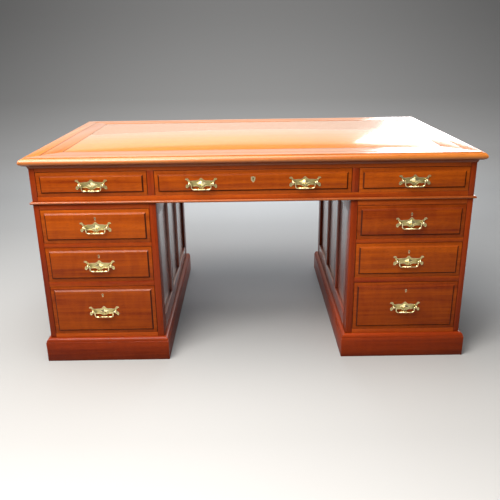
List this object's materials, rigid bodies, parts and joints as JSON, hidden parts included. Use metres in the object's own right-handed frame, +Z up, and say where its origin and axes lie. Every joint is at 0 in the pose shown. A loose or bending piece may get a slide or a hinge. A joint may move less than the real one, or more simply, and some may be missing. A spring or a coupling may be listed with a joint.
{
  "type": "writing desk",
  "caption": "Twin-pedestal mahogany writing desk with a moulded top, frieze and pedestal drawers that slide, and brass swing handles on shaped backplates.",
  "frame": {"origin": "on the floor, at the middle of the desk's width and depth", "axes": "+X towards the desk's right side as seen from in front of the drawers, +Y from the drawer fronts to the back, +Z up"},
  "size_m": [1.6, 0.968, 0.78],
  "materials": {
    "top_mahogany": "French-polished mahogany, glossy",
    "border_mahogany": "French-polished mahogany, glossy",
    "moulding_mahogany": "French-polished mahogany, glossy",
    "drawer_front_mahogany": "French-polished mahogany, glossy",
    "rail_mahogany": "French-polished mahogany, glossy",
    "post_mahogany": "French-polished mahogany, glossy",
    "panel_mahogany": "French-polished mahogany, glossy",
    "plinth_mahogany": "French-polished mahogany, glossy",
    "drawer_lining": "waxed oak, satin",
    "carcass_pine": "bare planed pine, matt",
    "brass": "polished cast brass, lightly tarnished in the hollows",
    "screw_steel": "dull steel"
  },
  "bodies": {
    "carcass": {"bed_moulding": "moulding_mahogany", "carcass_screws": "screw_steel", "frieze_back": "rail_mahogany", "frieze_ends": "rail_mahogany", "frieze_posts": "post_mahogany", "frieze_rails": "rail_mahogany", "frieze_runners": "carcass_pine", "left_pedestal_dustboards": "carcass_pine", "left_pedestal_front_rails": "rail_mahogany", "left_pedestal_panels": "panel_mahogany", "left_pedestal_plinth": "plinth_mahogany", "left_pedestal_posts": "post_mahogany", "left_pedestal_side_frames": "rail_mahogany", "right_pedestal_dustboards": "carcass_pine", "right_pedestal_front_rails": "rail_mahogany", "right_pedestal_panels": "panel_mahogany", "right_pedestal_plinth": "plinth_mahogany", "right_pedestal_posts": "post_mahogany", "right_pedestal_side_frames": "rail_mahogany", "top_band": "border_mahogany", "top_border": "border_mahogany", "top_panel": "top_mahogany", "waist_bead": "moulding_mahogany"},
    "left_frieze_drawer": {"left_frieze_drawer_front": "drawer_front_mahogany", "left_frieze_drawer_box": "drawer_lining", "left_frieze_drawer_fittings": "brass"},
    "left_frieze_drawer_bail": {"left_frieze_drawer_bail": "brass"},
    "left_upper_drawer": {"left_upper_drawer_front": "drawer_front_mahogany", "left_upper_drawer_box": "drawer_lining", "left_upper_drawer_fittings": "brass"},
    "left_upper_drawer_bail": {"left_upper_drawer_bail": "brass"},
    "left_middle_drawer": {"left_middle_drawer_front": "drawer_front_mahogany", "left_middle_drawer_box": "drawer_lining", "left_middle_drawer_fittings": "brass"},
    "left_middle_drawer_bail": {"left_middle_drawer_bail": "brass"},
    "left_lower_drawer": {"left_lower_drawer_front": "drawer_front_mahogany", "left_lower_drawer_box": "drawer_lining", "left_lower_drawer_fittings": "brass"},
    "left_lower_drawer_bail": {"left_lower_drawer_bail": "brass"},
    "right_frieze_drawer": {"right_frieze_drawer_front": "drawer_front_mahogany", "right_frieze_drawer_box": "drawer_lining", "right_frieze_drawer_fittings": "brass"},
    "right_frieze_drawer_bail": {"right_frieze_drawer_bail": "brass"},
    "right_upper_drawer": {"right_upper_drawer_front": "drawer_front_mahogany", "right_upper_drawer_box": "drawer_lining", "right_upper_drawer_fittings": "brass"},
    "right_upper_drawer_bail": {"right_upper_drawer_bail": "brass"},
    "right_middle_drawer": {"right_middle_drawer_front": "drawer_front_mahogany", "right_middle_drawer_box": "drawer_lining", "right_middle_drawer_fittings": "brass"},
    "right_middle_drawer_bail": {"right_middle_drawer_bail": "brass"},
    "right_lower_drawer": {"right_lower_drawer_front": "drawer_front_mahogany", "right_lower_drawer_box": "drawer_lining", "right_lower_drawer_fittings": "brass"},
    "right_lower_drawer_bail": {"right_lower_drawer_bail": "brass"},
    "centre_frieze_drawer": {"centre_frieze_drawer_front": "drawer_front_mahogany", "centre_frieze_drawer_box": "drawer_lining", "centre_frieze_drawer_fittings": "brass"},
    "centre_frieze_drawer_left_bail": {"centre_frieze_drawer_left_bail": "brass"},
    "centre_frieze_drawer_right_bail": {"centre_frieze_drawer_right_bail": "brass"}
  },
  "joints": [
    {"name": "left_frieze_drawer_slide", "type": "slide", "parent": "carcass", "child": "left_frieze_drawer", "axis": [0, -1, 0], "range_m": [0, 0.4]},
    {"name": "left_frieze_drawer_bail_hinge", "type": "hinge", "parent": "left_frieze_drawer", "child": "left_frieze_drawer_bail", "pos_m": [-0.561, -0.4725, 0.68265], "axis": [-1, 0, 0], "range_deg": [0, 160]},
    {"name": "left_upper_drawer_slide", "type": "slide", "parent": "carcass", "child": "left_upper_drawer", "axis": [0, -1, 0], "range_m": [0, 0.4]},
    {"name": "left_upper_drawer_bail_hinge", "type": "hinge", "parent": "left_upper_drawer", "child": "left_upper_drawer_bail", "pos_m": [-0.561, -0.4725, 0.5289], "axis": [-1, 0, 0], "range_deg": [0, 160]},
    {"name": "left_middle_drawer_slide", "type": "slide", "parent": "carcass", "child": "left_middle_drawer", "axis": [0, -1, 0], "range_m": [0, 0.4]},
    {"name": "left_middle_drawer_bail_hinge", "type": "hinge", "parent": "left_middle_drawer", "child": "left_middle_drawer_bail", "pos_m": [-0.561, -0.4725, 0.384], "axis": [-1, 0, 0], "range_deg": [0, 160]},
    {"name": "left_lower_drawer_slide", "type": "slide", "parent": "carcass", "child": "left_lower_drawer", "axis": [0, -1, 0], "range_m": [0, 0.4]},
    {"name": "left_lower_drawer_bail_hinge", "type": "hinge", "parent": "left_lower_drawer", "child": "left_lower_drawer_bail", "pos_m": [-0.561, -0.4725, 0.20175], "axis": [-1, 0, 0], "range_deg": [0, 160]},
    {"name": "right_frieze_drawer_slide", "type": "slide", "parent": "carcass", "child": "right_frieze_drawer", "axis": [0, -1, 0], "range_m": [0, 0.4]},
    {"name": "right_frieze_drawer_bail_hinge", "type": "hinge", "parent": "right_frieze_drawer", "child": "right_frieze_drawer_bail", "pos_m": [0.561, -0.4725, 0.68265], "axis": [-1, 0, 0], "range_deg": [0, 160]},
    {"name": "right_upper_drawer_slide", "type": "slide", "parent": "carcass", "child": "right_upper_drawer", "axis": [0, -1, 0], "range_m": [0, 0.4]},
    {"name": "right_upper_drawer_bail_hinge", "type": "hinge", "parent": "right_upper_drawer", "child": "right_upper_drawer_bail", "pos_m": [0.561, -0.4725, 0.5289], "axis": [-1, 0, 0], "range_deg": [0, 160]},
    {"name": "right_middle_drawer_slide", "type": "slide", "parent": "carcass", "child": "right_middle_drawer", "axis": [0, -1, 0], "range_m": [0, 0.4]},
    {"name": "right_middle_drawer_bail_hinge", "type": "hinge", "parent": "right_middle_drawer", "child": "right_middle_drawer_bail", "pos_m": [0.561, -0.4725, 0.384], "axis": [-1, 0, 0], "range_deg": [0, 160]},
    {"name": "right_lower_drawer_slide", "type": "slide", "parent": "carcass", "child": "right_lower_drawer", "axis": [0, -1, 0], "range_m": [0, 0.4]},
    {"name": "right_lower_drawer_bail_hinge", "type": "hinge", "parent": "right_lower_drawer", "child": "right_lower_drawer_bail", "pos_m": [0.561, -0.4725, 0.20175], "axis": [-1, 0, 0], "range_deg": [0, 160]},
    {"name": "centre_frieze_drawer_slide", "type": "slide", "parent": "carcass", "child": "centre_frieze_drawer", "axis": [0, -1, 0], "range_m": [0, 0.4]},
    {"name": "centre_frieze_drawer_left_bail_hinge", "type": "hinge", "parent": "centre_frieze_drawer", "child": "centre_frieze_drawer_left_bail", "pos_m": [-0.18, -0.4725, 0.68265], "axis": [-1, 0, 0], "range_deg": [0, 160]},
    {"name": "centre_frieze_drawer_right_bail_hinge", "type": "hinge", "parent": "centre_frieze_drawer", "child": "centre_frieze_drawer_right_bail", "pos_m": [0.18, -0.4725, 0.68265], "axis": [-1, 0, 0], "range_deg": [0, 160]}
  ]
}
